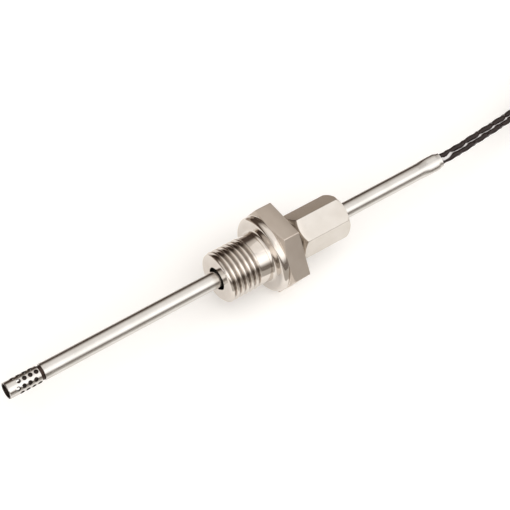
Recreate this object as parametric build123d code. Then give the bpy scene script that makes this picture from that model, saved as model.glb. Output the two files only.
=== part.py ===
from build123d import *
import math
import os

# A sheathed thermocouple with a perforated measuring tip, a screw-in compression gland that
# slides along the sheath, and a two-core lead that ends in ring terminals.
#
# Millimetres, +Z up. The probe lies along X with its tip at -X. "Station" means the distance
# from the tip along the probe axis. The hexagon of the gland rests on the ground plane Z = 0
# and the origin is under the middle of the probe.

# --- driving dimensions: sheath and tip ---
PROBE_LENGTH = 136.5
SHEATH_RADIUS = 2.25
SHEATH_BORE_RADIUS = 1.85
TIP_LENGTH = 9.0
TIP_BORE_RADIUS = 1.8
NECK_RADIUS = 1.9
NECK_LENGTH = 0.95
SPIGOT_LENGTH = 2.0
SPIGOT_BORE_RADIUS = 1.5
HOLE_RADIUS = 0.6
HOLES_PER_RING = 4
HOLE_RINGS = 8
FIRST_RING = 2.45
RING_PITCH = 0.825
HOLE_PHASE = 25.0

# --- driving dimensions: crimped rear end of the sheath ---
CRIMP_START = 130.2
CRIMP_FULL = 131.8
CRIMP_END = 135.0
CRIMP_HALF_WIDTH = 2.35
CRIMP_HALF_HEIGHT = 1.5
CRIMP_WALL = 0.4
MOUTH_HALF_WIDTH = 1.95
MOUTH_HALF_HEIGHT = 1.12
MOUTH_WALL = 0.18
CRIMP_TILT = 33.0

# --- driving dimensions: measuring circuit ---
BEAD_STATION = 2.6
BEAD_SPREAD = 1.6
BEAD_RADIUS = 0.55
WIRE_RADIUS = 0.25
WIRE_OFFSET = 0.6
CEMENT_START = 4.5
INSULATOR_START = 12.3
INSULATOR_END = 118.0
INSULATOR_COUNT = 6
INSULATOR_RADIUS = 1.65
INSULATOR_BORE_RADIUS = 0.32
INSULATOR_GAP = 0.1
SPLICE_START = 121.0
SPLICE_LENGTH = 5.0
SPLICE_RADIUS = 0.62
SPLICE_SLEEVE_RADIUS = 0.78
CORE_RADIUS = 0.35
LEAD_RADIUS = 0.8
LEAD_GAP = 0.02
LEAD_STRIP_STATION = 127.5

# --- driving dimensions: gland body ---
BODY_FRONT = 62.0
THREAD_RADIUS = 6.95
THREAD_PITCH = 1.5
THREAD_END = 71.6
SHANK_RADIUS = 6.8
FRONT_CHAMFER = 0.6
FLANGE_FACE = 75.6
FLANGE_ROOT_FILLET = 0.8
FLANGE_EDGE = 0.2
HEX_START = 77.5
HEX_END = 82.9
HEX_ACROSS_FLATS = 21.0
HEX_CHAMFER_ANGLE = 20.0
BODY_BORE_RADIUS = 2.35
FRONT_COUNTERBORE_RADIUS = 3.4
FRONT_COUNTERBORE_DEPTH = 6.0
REAR_THREAD_RADIUS = 3.95
REAR_THREAD_PITCH = 1.0
REAR_THREAD_START = 84.4
REAR_THREAD_END = 92.0
REAR_UNDERCUT_RADIUS = 3.25
SEAT_MOUTH_RADIUS = 3.1
SEAT_ANGLE = 20.0

# --- driving dimensions: nut and ferrules ---
NUT_START = 86.3
NUT_END = 101.5
NUT_ACROSS_FLATS = 11.0
NUT_CHAMFER_ANGLE = 40.0
NUT_REAR_ROUND = 2.2
NUT_TURNED = 3.0
NUT_BORE_RADIUS = 4.05
NUT_THREAD_END = 93.2
NUT_POCKET_RADIUS = 3.3
NUT_REAR_BORE_RADIUS = 2.4
FERRULE_BORE_RADIUS = 2.3
FERRULE_RADIUS = 3.2
FRONT_FERRULE_START = 90.3
FRONT_FERRULE_END = 93.3
BACK_FERRULE_END = 95.2
SEAT_CLEARANCE = 0.06

# --- driving dimensions: lead and its tied hank ---
PAIR_RADIUS = 1.6
HANK_START = 129.0
HANK_RUN = 24.0
HANK_AXIS_Y = -1.5
HANK_OUTER_TURN = 12.0
HANK_INNER_TURN = 8.7
HANK_LAYERS = 4
HANK_LAYER_RISE = 3.2
HANK_EDGE = 1.2
TIE_WIDTH = 3.0
TIE_THICKNESS = 0.5

# --- driving dimensions: far end of the lead ---
BOOT_LENGTH = 12.0
BOOT_RADIUS = 2.1
SLEEVE_LENGTH = 7.0
SLEEVE_RADIUS = 1.7
BARREL_RADIUS = 1.15
BARREL_LENGTH = 6.0
RING_RADIUS = 4.0
RING_HOLE_RADIUS = 2.15
RING_THICKNESS = 0.8
TONGUE_WIDTH = 3.0
TONGUE_LENGTH = 7.0

AXIS_HEIGHT = HEX_ACROSS_FLATS / 2
REAR_X = PROBE_LENGTH / 2
HANK_HEIGHT = 2 * PAIR_RADIUS + (HANK_LAYERS - 1) * HANK_LAYER_RISE
HANK_END = HANK_START + HANK_RUN
HANK_SIDE_Y = HANK_AXIS_Y + HANK_OUTER_TURN
THREAD_DEPTH_RATIO = 0.613
SLACK = 1.0

# The lead leaves the crimp straight, bows sideways as it sinks to the ground, and runs into
# the lowest outer turn of the hank.
LEAD_ROUTE = [
    (REAR_X, 0.0, AXIS_HEIGHT),
    (74.0, 0.0, AXIS_HEIGHT),
    (82.0, 1.1, 9.95),
    (92.0, 2.7, 8.45),
    (103.0, 5.2, 6.2),
    (112.0, 8.1, 3.8),
    (120.0, 10.3, 2.0),
    (HANK_START, HANK_SIDE_Y, PAIR_RADIUS),
]

# From the uppermost outer turn the lead runs on and sinks back to the ground.
TAIL_ROUTE = [
    (HANK_END, HANK_SIDE_Y, HANK_HEIGHT - PAIR_RADIUS),
    (160.0, 10.4, 10.9),
    (168.0, 9.2, 8.6),
    (175.0, 7.0, 5.2),
    (182.0, 4.4, 2.9),
    (189.0, 2.7, BOOT_RADIUS),
    (194.0, 2.5, BOOT_RADIUS),
]

# Each end lead spreads from the boot to its terminal; the second value is the offset sideways
# from the boot's axis.
END_LEAD_ROUTE = [
    (206.0, 0.81, BOOT_RADIUS),
    (210.0, 0.81, BOOT_RADIUS),
    (215.0, 2.7, 1.9),
    (220.0, 5.4, SLEEVE_RADIUS),
    (225.0, 5.4, SLEEVE_RADIUS),
]


def stand(shape):
    """Move a shape from the probe's axes to the standing frame."""
    return Pos(-PROBE_LENGTH / 2, 0, AXIS_HEIGHT) * shape


def in_crimp_plane(shape):
    """Turn a shape about the probe axis so that its Y lies along the crimp's wide side."""
    return Rot(CRIMP_TILT, 0, 0) * shape


def turned(outline):
    """Solid of revolution about the probe axis from an outline of (station, radius) points."""
    points = [(station, 0, radius) for station, radius in outline]
    return revolve(make_face(Polyline(points, close=True)), Axis.X, 360)


def rod(start, end, radius, y=0.0):
    """Round rod between two stations, offset sideways by y."""
    return Pos(start, y, 0) * Rot(0, 90, 0) * Cylinder(
        radius, end - start, align=(Align.CENTER, Align.CENTER, Align.MIN))


def hexagon_bar(start, end, across_flats, turn):
    """Hexagonal bar between two stations; turn 0 has a flat at the bottom."""
    circumradius = across_flats / math.sqrt(3)
    profile = RegularPolygon(circumradius, 6)
    bar = extrude(profile, end - start)
    return Pos(start, 0, 0) * Rot(turn, 0, 0) * Rot(0, 90, 0) * Rot(0, 0, 90) * bar


def thread_groove(start, end, radius, pitch):
    """Helical V-groove that leaves the crest of the thread a true cylinder."""
    depth = THREAD_DEPTH_RATIO * pitch
    half_mouth = 0.4375 * pitch
    half_root = 0.0625 * pitch
    overshoot = 0.2
    slope = (half_mouth - half_root) / depth
    path = Helix(pitch=pitch, height=end - start, radius=radius)
    start_point = path @ 0
    section = Plane(origin=start_point, x_dir=(1, 0, 0), z_dir=(0, 1, 0))
    outer = half_mouth + slope * overshoot
    profile = section * make_face(Polyline(
        [(overshoot, -outer), (overshoot, outer), (-depth, half_root), (-depth, -half_root)],
        close=True))
    groove = sweep(profile, path=path, is_frenet=True)
    return Pos(start, 0, 0) * Rot(0, 90, 0) * groove


def route_radii(points):
    """Largest tangent arc that two neighbouring runs have room for, at each inner point."""
    radii = []
    for before, point, after in zip(points, points[1:], points[2:]):
        arriving = Vector(*point) - Vector(*before)
        leaving = Vector(*after) - Vector(*point)
        half_turn = math.radians(arriving.get_angle(leaving)) / 2
        shorter = min(arriving.length, leaving.length)
        radii.append(0.45 * shorter / math.tan(half_turn))
    return radii


def tube_along(points, radius, label):
    """Round cord solid along a route of straight runs joined by tangent arcs."""
    radii = route_radii(points)
    path = FilletPolyline(*points, radius=radii)
    start = Plane(origin=path @ 0, z_dir=path % 0)
    tube = sweep(start * Circle(radius), path=path)
    expected = math.pi * radius ** 2 * path.length
    print(label, "length %.1f" % path.length, "volume ratio %.4f" % (tube.volume / expected),
          "radii", ["%.0f" % value for value in radii])
    return tube


def hole_ring(ring):
    """The radial drillings of one ring of holes; each ring is turned half a space from the last."""
    station = FIRST_RING + ring * RING_PITCH
    drill = Cylinder(HOLE_RADIUS, SHEATH_RADIUS + SLACK, align=(Align.CENTER, Align.CENTER, Align.MIN))
    drills = []
    for index in range(HOLES_PER_RING):
        angle = HOLE_PHASE + (index + ring / 2) * 360 / HOLES_PER_RING
        drills.append(Pos(station, 0, 0) * Rot(angle, 0, 0) * drill)
    return drills


def perforated_tip():
    """Open front sleeve with rings of holes, a narrow neck and a spigot that enters the sheath."""
    neck_end = TIP_LENGTH + NECK_LENGTH
    spigot_end = neck_end + SPIGOT_LENGTH
    lip = 0.12
    body = turned([
        (0, TIP_BORE_RADIUS), (0, SHEATH_RADIUS - lip), (lip, SHEATH_RADIUS),
        (TIP_LENGTH, SHEATH_RADIUS), (TIP_LENGTH, NECK_RADIUS), (neck_end, NECK_RADIUS),
        (neck_end, SHEATH_BORE_RADIUS), (spigot_end, SHEATH_BORE_RADIUS),
        (spigot_end, SPIGOT_BORE_RADIUS), (TIP_LENGTH, SPIGOT_BORE_RADIUS),
        (TIP_LENGTH - 0.3, TIP_BORE_RADIUS)])
    for ring in range(HOLE_RINGS):
        for drill in hole_ring(ring):
            body -= drill
    return body


def across(station):
    """Plane across the probe axis."""
    return Plane(origin=(station, 0, 0), x_dir=(0, 1, 0), z_dir=(1, 0, 0))


def lofted(sections):
    """Ruled solid through a chain of sections."""
    spans = [loft([first, second], ruled=True) for first, second in zip(sections, sections[1:])]
    solid = spans[0]
    for span in spans[1:]:
        solid += span
    return solid


def crimped_rod(start, radius, crimp_wall, mouth_wall):
    """Round rod that is squeezed oval at the crimp; the walls are taken off the oval's radii."""
    squeezed = Ellipse(CRIMP_HALF_WIDTH - crimp_wall, CRIMP_HALF_HEIGHT - crimp_wall)
    mouth = Ellipse(MOUTH_HALF_WIDTH - mouth_wall, MOUTH_HALF_HEIGHT - mouth_wall)
    return rod(start, CRIMP_START, radius) + lofted([
        across(CRIMP_START) * Circle(radius),
        across(CRIMP_FULL) * squeezed,
        across(CRIMP_END) * squeezed,
        across(PROBE_LENGTH) * mouth])


def sheath_tube():
    """Long thin-walled tube whose rear end is crimped flat around the two leads."""
    start = TIP_LENGTH + NECK_LENGTH
    outside = crimped_rod(start, SHEATH_RADIUS, 0, 0)
    inside = crimped_rod(start, SHEATH_BORE_RADIUS, CRIMP_WALL, MOUTH_WALL)
    return in_crimp_plane(outside - inside)


def measuring_bead():
    """Welded junction where the two thermo wires meet."""
    return Pos(BEAD_STATION, 0, 0) * Sphere(BEAD_RADIUS)


def thermo_wire(side):
    """One thermo wire, from the bead through the insulators to its splice."""
    bend = 3.0
    points = [
        (BEAD_STATION + 0.2, side * 0.3, 0),
        (BEAD_STATION + BEAD_SPREAD, side * WIRE_OFFSET, 0),
        (SPLICE_START - bend, side * WIRE_OFFSET, 0),
        (SPLICE_START - SLACK, side * LEAD_RADIUS, 0),
        (SPLICE_START + SPLICE_LENGTH / 2, side * LEAD_RADIUS, 0)]
    path = FilletPolyline(*points, radius=2.0)
    start = Plane(origin=path @ 0, z_dir=path % 0)
    wire = sweep(start * Circle(WIRE_RADIUS), path=path)
    return wire - measuring_bead()


def tip_cement():
    """Ceramic cement that closes the sheath; its nose reaches into the tip, up to the bead."""
    end = TIP_LENGTH + NECK_LENGTH + SPIGOT_LENGTH
    plug = rod(CEMENT_START, end, SPIGOT_BORE_RADIUS)
    for side in (-1, 1):
        plug -= rod(CEMENT_START - SLACK, end + SLACK, WIRE_RADIUS, side * WIRE_OFFSET)
    return plug


def ceramic_insulator(index):
    """One twin-bore ceramic bead."""
    pitch = (INSULATOR_END - INSULATOR_START) / INSULATOR_COUNT
    start = INSULATOR_START + index * pitch
    end = start + pitch - INSULATOR_GAP
    bead = rod(start, end, INSULATOR_RADIUS)
    for side in (-1, 1):
        bead -= rod(start - SLACK, end + SLACK, INSULATOR_BORE_RADIUS, side * WIRE_OFFSET)
    return bead


def splice_barrel(side):
    """Crimp barrel that joins a thermo wire to the core of its lead."""
    middle = SPLICE_START + SPLICE_LENGTH / 2
    end = SPLICE_START + SPLICE_LENGTH
    barrel = turned([
        (SPLICE_START, WIRE_RADIUS), (SPLICE_START, SPLICE_RADIUS), (end, SPLICE_RADIUS),
        (end, CORE_RADIUS), (middle, CORE_RADIUS), (middle, WIRE_RADIUS)])
    return Pos(0, side * LEAD_RADIUS, 0) * barrel


def splice_sleeve(side):
    """Glass-fibre sleeve over a splice barrel."""
    start = SPLICE_START - 0.3
    end = SPLICE_START + SPLICE_LENGTH + 0.8
    sleeve = turned([
        (start, SPLICE_RADIUS), (start, SPLICE_SLEEVE_RADIUS), (end, SPLICE_SLEEVE_RADIUS),
        (end, SPLICE_RADIUS)])
    return Pos(0, side * LEAD_RADIUS, 0) * sleeve


def lead_core(side):
    """Stranded core of a lead inside the sheath."""
    return rod(SPLICE_START + SPLICE_LENGTH / 2, PROBE_LENGTH, CORE_RADIUS, side * LEAD_RADIUS)


def lead_insulation(side):
    """Insulation of a lead where the crimp grips it."""
    radius = LEAD_RADIUS - LEAD_GAP
    tube = turned([
        (LEAD_STRIP_STATION, CORE_RADIUS), (LEAD_STRIP_STATION, radius),
        (PROBE_LENGTH, radius), (PROBE_LENGTH, CORE_RADIUS)])
    return Pos(0, side * LEAD_RADIUS, 0) * tube


def gland_body():
    """Hexagonal gland body: front screw thread, round flange, hexagon and rear screw thread."""
    corner = HEX_ACROSS_FLATS / math.sqrt(3) + SLACK
    chamfer_rise = (corner - AXIS_HEIGHT) * math.tan(math.radians(HEX_CHAMFER_ANGLE))
    rear_chamfer = 0.6
    seat_depth = (SEAT_MOUTH_RADIUS - BODY_BORE_RADIUS) / math.tan(math.radians(SEAT_ANGLE))
    hexagon = hexagon_bar(HEX_START, HEX_END, HEX_ACROSS_FLATS, 0) & turned([
        (HEX_START, 0), (HEX_START, AXIS_HEIGHT), (HEX_START + chamfer_rise, corner),
        (HEX_END, corner), (HEX_END, 0)])
    stem = turned([
        (BODY_FRONT, 0), (BODY_FRONT, THREAD_RADIUS - FRONT_CHAMFER),
        (BODY_FRONT + FRONT_CHAMFER, THREAD_RADIUS), (THREAD_END, THREAD_RADIUS),
        (THREAD_END, SHANK_RADIUS), (FLANGE_FACE, SHANK_RADIUS),
        (FLANGE_FACE, AXIS_HEIGHT - FLANGE_EDGE), (FLANGE_FACE + FLANGE_EDGE, AXIS_HEIGHT),
        (HEX_START, AXIS_HEIGHT), (HEX_START, REAR_THREAD_RADIUS),
        (HEX_END, REAR_THREAD_RADIUS), (HEX_END, REAR_UNDERCUT_RADIUS),
        (REAR_THREAD_START, REAR_UNDERCUT_RADIUS),
        (REAR_THREAD_START + rear_chamfer, REAR_THREAD_RADIUS),
        (REAR_THREAD_END - rear_chamfer, REAR_THREAD_RADIUS),
        (REAR_THREAD_END, REAR_THREAD_RADIUS - rear_chamfer), (REAR_THREAD_END, 0)])
    root = stem.edges().filter_by(GeomType.CIRCLE).filter_by(
        lambda edge: abs(edge.center().X - FLANGE_FACE) < 0.01
        and abs(edge.radius - SHANK_RADIUS) < 0.01)
    stem = fillet(root, FLANGE_ROOT_FILLET)
    bore = turned([
        (BODY_FRONT - SLACK, 0), (BODY_FRONT - SLACK, FRONT_COUNTERBORE_RADIUS),
        (BODY_FRONT + FRONT_COUNTERBORE_DEPTH, FRONT_COUNTERBORE_RADIUS),
        (BODY_FRONT + FRONT_COUNTERBORE_DEPTH + SLACK, BODY_BORE_RADIUS),
        (REAR_THREAD_END - seat_depth, BODY_BORE_RADIUS), (REAR_THREAD_END, SEAT_MOUTH_RADIUS),
        (REAR_THREAD_END + SLACK, SEAT_MOUTH_RADIUS), (REAR_THREAD_END + SLACK, 0)])
    body = stem + hexagon - bore
    body -= thread_groove(BODY_FRONT - THREAD_PITCH, THREAD_END, THREAD_RADIUS, THREAD_PITCH)
    body -= thread_groove(
        REAR_THREAD_START, REAR_THREAD_END + REAR_THREAD_PITCH, REAR_THREAD_RADIUS,
        REAR_THREAD_PITCH)
    return body


def seat_radius(station):
    """Radius of the gland body's conical seat at a station."""
    return SEAT_MOUTH_RADIUS - (REAR_THREAD_END - station) * math.tan(math.radians(SEAT_ANGLE))


def front_ferrule():
    """Cone ring that the nut drives into the seat of the gland body."""
    countersink = 0.5
    nose = seat_radius(FRONT_FERRULE_START) - SEAT_CLEARANCE
    shoulder = seat_radius(REAR_THREAD_END) - SEAT_CLEARANCE
    return turned([
        (FRONT_FERRULE_START, FERRULE_BORE_RADIUS), (FRONT_FERRULE_START, nose),
        (REAR_THREAD_END, shoulder), (REAR_THREAD_END + 0.3, FERRULE_RADIUS),
        (FRONT_FERRULE_END, FERRULE_RADIUS),
        (FRONT_FERRULE_END, FERRULE_BORE_RADIUS + countersink),
        (FRONT_FERRULE_END - countersink, FERRULE_BORE_RADIUS)])


def back_ferrule():
    """Short ring between the nut's cone and the front ferrule."""
    nose = 0.38
    gap = 0.08
    bevel = 0.55
    start = FRONT_FERRULE_END + gap
    return turned([
        (start - nose, FERRULE_BORE_RADIUS), (start, FERRULE_BORE_RADIUS + nose),
        (start, FERRULE_RADIUS), (BACK_FERRULE_END - bevel, FERRULE_RADIUS),
        (BACK_FERRULE_END, FERRULE_RADIUS - bevel), (BACK_FERRULE_END, FERRULE_BORE_RADIUS)])


def gland_nut():
    """Long hexagonal compression nut with a rounded rear end."""
    corner = NUT_ACROSS_FLATS / math.sqrt(3) + 0.1
    front_radius = NUT_ACROSS_FLATS / 2 - 0.15
    chamfer_rise = (corner - front_radius) * math.tan(math.radians(NUT_CHAMFER_ANGLE))
    bevel = 0.55
    gap = 0.06
    shroud = turned([
        (NUT_START, 0), (NUT_START, front_radius), (NUT_START + chamfer_rise, corner),
        (NUT_END, corner), (NUT_END, 0)])
    rear_rim = shroud.edges().filter_by(GeomType.CIRCLE).filter_by(
        lambda edge: abs(edge.center().X - NUT_END) < 0.01)
    shroud = fillet(rear_rim, NUT_REAR_ROUND)
    cone_start = BACK_FERRULE_END - bevel + gap
    cone_fall = NUT_POCKET_RADIUS - NUT_REAR_BORE_RADIUS
    bore = turned([
        (NUT_START - SLACK, 0), (NUT_START - SLACK, NUT_BORE_RADIUS),
        (NUT_THREAD_END, NUT_BORE_RADIUS), (NUT_THREAD_END + 0.4, NUT_POCKET_RADIUS),
        (cone_start, NUT_POCKET_RADIUS), (cone_start + cone_fall, NUT_REAR_BORE_RADIUS),
        (NUT_END - 0.4, NUT_REAR_BORE_RADIUS), (NUT_END, NUT_REAR_BORE_RADIUS + 0.4),
        (NUT_END + SLACK, NUT_REAR_BORE_RADIUS + 0.4), (NUT_END + SLACK, 0)])
    hexagon = hexagon_bar(NUT_START, NUT_END, NUT_ACROSS_FLATS, 30 - NUT_TURNED)
    return (hexagon & shroud) - bore


def hank_tie():
    """Flat strap closed round the middle of the hank."""
    reach = 2 * (HANK_OUTER_TURN + PAIR_RADIUS)
    strap = Box(TIE_WIDTH, reach + 2 * TIE_THICKNESS, HANK_HEIGHT + TIE_THICKNESS)
    strap = fillet(strap.edges().filter_by(Axis.X), HANK_EDGE)
    opening = Box(TIE_WIDTH + SLACK, reach, HANK_HEIGHT - TIE_THICKNESS)
    opening = fillet(opening.edges().filter_by(Axis.X), HANK_EDGE - TIE_THICKNESS)
    middle = (HANK_START + HANK_END) / 2
    return Pos(middle, HANK_AXIS_Y, (HANK_HEIGHT + TIE_THICKNESS) / 2) * (strap - opening)


def hank():
    """Outer shape of the folded turns: a long ring with straight sides and round ends."""
    outer = 2 * (HANK_OUTER_TURN + PAIR_RADIUS)
    inner = 2 * (HANK_INNER_TURN - PAIR_RADIUS)
    outline = SlotCenterToCenter(HANK_RUN, outer) - SlotCenterToCenter(HANK_RUN, inner)
    ring = extrude(outline, HANK_HEIGHT)
    rims = ring.edges().filter_by(lambda edge: abs(edge.tangent_at(0.5).Z) < 0.5)
    ring = fillet(rims, HANK_EDGE)
    return Pos((HANK_START + HANK_END) / 2, HANK_AXIS_Y, 0) * ring


def breakout_boot():
    """Shrink boot where the two leads part."""
    boot = Cylinder(BOOT_RADIUS, BOOT_LENGTH, align=(Align.CENTER, Align.CENTER, Align.MIN))
    boot = fillet(boot.edges().filter_by(GeomType.CIRCLE), 0.4)
    end = TAIL_ROUTE[-1]
    return Pos(*end) * Rot(0, 90, 0) * boot


def end_lead(side):
    """Single lead between the boot and its terminal."""
    axis_y = TAIL_ROUTE[-1][1]
    points = [(x, axis_y + side * offset, z) for x, offset, z in END_LEAD_ROUTE]
    return tube_along(points, LEAD_RADIUS - LEAD_GAP, "end lead")


def terminal_place(side):
    """Location where a lead enters its terminal, with +X pointing on along the lead."""
    x, offset, z = END_LEAD_ROUTE[-1]
    return Pos(x, TAIL_ROUTE[-1][1] + side * offset, z)


def ring_terminal(side):
    """Ring tongue with its crimp barrel, for an M4 screw."""
    barrel = Rot(0, 90, 0) * Cylinder(
        BARREL_RADIUS, BARREL_LENGTH, align=(Align.CENTER, Align.CENTER, Align.MIN))
    low = Pos(0, 0, -RING_THICKNESS / 2)
    tongue = Pos(BARREL_LENGTH - SLACK, 0, 0) * low * Box(
        TONGUE_LENGTH, TONGUE_WIDTH, RING_THICKNESS, align=(Align.MIN, Align.CENTER, Align.CENTER))
    centre = BARREL_LENGTH + TONGUE_LENGTH
    ring = Pos(centre, 0, 0) * low * Cylinder(RING_RADIUS, RING_THICKNESS)
    screw_hole = Pos(centre, 0, 0) * low * Cylinder(RING_HOLE_RADIUS, RING_THICKNESS + SLACK)
    return terminal_place(side) * (barrel + tongue + ring - screw_hole)


def terminal_sleeve(side):
    """Insulating sleeve round the crimp barrel."""
    sleeve = turned([
        (0, BARREL_RADIUS), (0, SLEEVE_RADIUS), (SLEEVE_LENGTH - SLACK * 2, SLEEVE_RADIUS),
        (SLEEVE_LENGTH - SLACK * 2, BARREL_RADIUS)])
    return terminal_place(side) * sleeve


def probe_parts():
    """Sheath, tip and measuring circuit, in the standing frame."""
    parts = {
        "perforated_tip": in_crimp_plane(perforated_tip()),
        "sheath_tube": sheath_tube(),
        "measuring_bead": measuring_bead(),
        "tip_cement": in_crimp_plane(tip_cement()),
    }
    for index in range(INSULATOR_COUNT):
        parts["ceramic_insulator_%d" % (index + 1)] = in_crimp_plane(ceramic_insulator(index))
    for name, side in (("positive", 1), ("negative", -1)):
        parts["thermo_wire_" + name] = in_crimp_plane(thermo_wire(side))
        parts["splice_barrel_" + name] = in_crimp_plane(splice_barrel(side))
        parts["splice_sleeve_" + name] = in_crimp_plane(splice_sleeve(side))
        parts["lead_core_" + name] = in_crimp_plane(lead_core(side))
        parts["lead_insulation_" + name] = in_crimp_plane(lead_insulation(side))
    return {name: stand(shape) for name, shape in parts.items()}


def gland_parts():
    """Compression gland, in the standing frame."""
    parts = {
        "gland_body": gland_body(),
        "front_ferrule": front_ferrule(),
        "back_ferrule": back_ferrule(),
        "gland_nut": gland_nut(),
    }
    return {name: stand(shape) for name, shape in parts.items()}


def lead_parts():
    """Lead, its hank and its terminals."""
    tie = hank_tie()
    ring = hank()
    parts = {
        "lead_cable": tube_along(LEAD_ROUTE, PAIR_RADIUS, "lead") - ring,
        "lead_cable_hank": ring - tie,
        "lead_cable_tail": tube_along(TAIL_ROUTE, PAIR_RADIUS, "tail") - ring,
        "hank_tie": tie,
        "breakout_boot": breakout_boot(),
    }
    for name, side in (("positive", 1), ("negative", -1)):
        parts["end_lead_" + name] = end_lead(side)
        parts["ring_terminal_" + name] = ring_terminal(side)
        parts["terminal_sleeve_" + name] = terminal_sleeve(side)
    return parts


os.makedirs("parts", exist_ok=True)
for node, shape in {**probe_parts(), **gland_parts(), **lead_parts()}.items():
    export_step(shape, "parts/%s.step" % node)
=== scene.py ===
import math

import bpy
from mathutils import Matrix, Quaternion, Vector


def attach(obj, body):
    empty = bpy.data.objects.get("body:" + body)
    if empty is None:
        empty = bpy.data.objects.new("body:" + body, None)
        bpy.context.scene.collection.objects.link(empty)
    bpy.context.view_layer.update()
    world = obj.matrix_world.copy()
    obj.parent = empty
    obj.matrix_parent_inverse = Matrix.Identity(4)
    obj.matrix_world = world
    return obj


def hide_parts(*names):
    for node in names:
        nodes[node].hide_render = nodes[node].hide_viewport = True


# A sheathed thermocouple with a screw-in compression gland and a two-core lead, on a pale floor.
# Metres, +Z up. The probe lies along X with its tip at -X and its axis AXIS_HEIGHT above the floor.
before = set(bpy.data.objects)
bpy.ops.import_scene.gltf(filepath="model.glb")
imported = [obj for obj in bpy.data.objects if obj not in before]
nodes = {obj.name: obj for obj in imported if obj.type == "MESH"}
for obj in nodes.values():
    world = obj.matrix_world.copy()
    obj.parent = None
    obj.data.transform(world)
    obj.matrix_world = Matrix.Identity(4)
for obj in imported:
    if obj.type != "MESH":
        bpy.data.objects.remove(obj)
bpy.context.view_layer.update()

MM = 0.001
AXIS_HEIGHT = 10.5 * MM
HALF_PROBE = 68.25 * MM


def mm(x, y, z):
    """Point in metres from millimetres."""
    return Vector((x * MM, y * MM, z * MM))


# ---------------------------------------------------------------- camera
CAMERA_PLACE = mm(-181.87, -227.59, 362.39)
CAMERA_FORWARD = Vector((0.4097, 0.4968, -0.7650))
CAMERA_RIGHT = Vector((0.8053, -0.5910, 0.0475))
SENSOR = 36.0
LENS = 126.2
CLIP_NEAR = 0.01
CLIP_FAR = 20.0


def make_camera():
    """Camera at the photograph's viewing angle, with no depth of field."""
    back = -CAMERA_FORWARD.normalized()
    right = (CAMERA_RIGHT - CAMERA_RIGHT.dot(back) * back).normalized()
    up = back.cross(right)
    data = bpy.data.cameras.new("camera")
    data.lens = LENS
    data.sensor_width = SENSOR
    data.clip_start = CLIP_NEAR
    data.clip_end = CLIP_FAR
    camera = bpy.data.objects.new("camera", data)
    turn = Matrix((right, up, back)).transposed().to_4x4()
    camera.matrix_world = Matrix.Translation(CAMERA_PLACE) @ turn
    bpy.context.collection.objects.link(camera)
    bpy.context.scene.camera = camera


make_camera()

# ---------------------------------------------------------------- lead
# Sizes below are in millimetres unless a name says otherwise.
PAIR_RADIUS = 1.6
LEAD_RADIUS = 0.74
LEAD_OFFSET = 0.84
LEAD_SIDES = 16
LINE_STEPS = 12
END_LEAD_RADIUS = 0.78
END_LEAD_STEPS = 8
BOOT_HEIGHT = 2.1
BOOT_AXIS_Y = 2.5

# The pair rocks to and fro about its own line, and beyond a straight stretch it also twists.
WAVE_PITCH = 6.1
WAVE_ANGLE = math.radians(36.0)
STRAIGHT_STRETCH = 34.0
TWIST_PITCH = 34.0

FILLER_SIDES = 10
FILLER_LEAST = 0.17
FILLER_SWELL = 0.40
FILLER_AT_CRIMP = 0.62
FILLER_CRIMP_END = 5.2
FILLER_CRIMP_FADE = 2.0
FIRST_SWELL = 3.5
SWELL_SHARPNESS = 4

HANK_START = 129.0
HANK_RUN = 24.0
HANK_END = HANK_START + HANK_RUN
HANK_AXIS_Y = -1.5
HANK_OUTER_TURN = 12.0
HANK_INNER_TURN = 8.7
HANK_LAYER_RISE = 3.2
RUN_POINTS = 4
END_POINTS = 12
TIE_X = HANK_START + HANK_RUN / 2
TIE_REACH = 7.0
TIE_LIFT = 0.45
TIE_LIFT_LOSS = 0.3

LEAD_ROUTE = [
    (68.25, 0.0, 10.5),
    (74.0, 0.0, 10.5),
    (82.0, 1.1, 9.95),
    (92.0, 2.7, 8.45),
    (103.0, 5.2, 6.2),
    (112.0, 8.1, 3.8),
    (120.0, 10.3, 2.0),
]
TAIL_ROUTE = [
    (160.0, 10.4, 10.9),
    (168.0, 9.2, 8.6),
    (175.0, 7.0, 5.2),
    (182.0, 4.4, 2.9),
    (189.0, 2.7, BOOT_HEIGHT),
    (194.0, 2.5, BOOT_HEIGHT),
    (198.0, 2.5, BOOT_HEIGHT),
]
END_LEAD_ROUTE = [
    (203.0, 0.81, BOOT_HEIGHT),
    (206.0, 0.81, BOOT_HEIGHT),
    (210.0, 0.81, BOOT_HEIGHT),
    (215.0, 2.7, 1.9),
    (220.0, 5.4, 1.7),
    (225.0, 5.4, 1.7),
    (228.0, 5.4, 1.7),
]
# The two cores lie side by side along this direction where they leave the crimp.
CRIMP_WIDE_WAY = Vector((0.0, 0.84, 0.543))


def eased(value):
    """0 up to 0, 1 from 1, and a smooth step between."""
    value = min(max(value, 0.0), 1.0)
    return value * value * (3 - 2 * value)


# Each turn of the hank lies in a slot, (radius, layer). It moves over to the next slot as it
# rounds the end nearer the probe, later turns a little earlier, so that they stay clear.
SLOTS = [
    (HANK_OUTER_TURN, 0), (HANK_INNER_TURN, 0), (HANK_INNER_TURN, 1), (HANK_OUTER_TURN, 1),
    (HANK_OUTER_TURN, 2), (HANK_INNER_TURN, 2), (HANK_INNER_TURN, 3), (HANK_OUTER_TURN, 3),
]
FIRST_MOVE = 0.6
MOVE_LENGTH = 0.4
MOVE_STEP = 0.1


def hank_point(x, across, radius, layer):
    """Point of a turn; across is its place sideways in units of the turn's radius."""
    near_tie = eased(1.0 - abs(x - TIE_X) / TIE_REACH)
    height = PAIR_RADIUS + layer * HANK_LAYER_RISE
    height += near_tie * TIE_LIFT * (1.0 - TIE_LIFT_LOSS * layer)
    return (x, HANK_AXIS_Y + across * radius, height)


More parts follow.
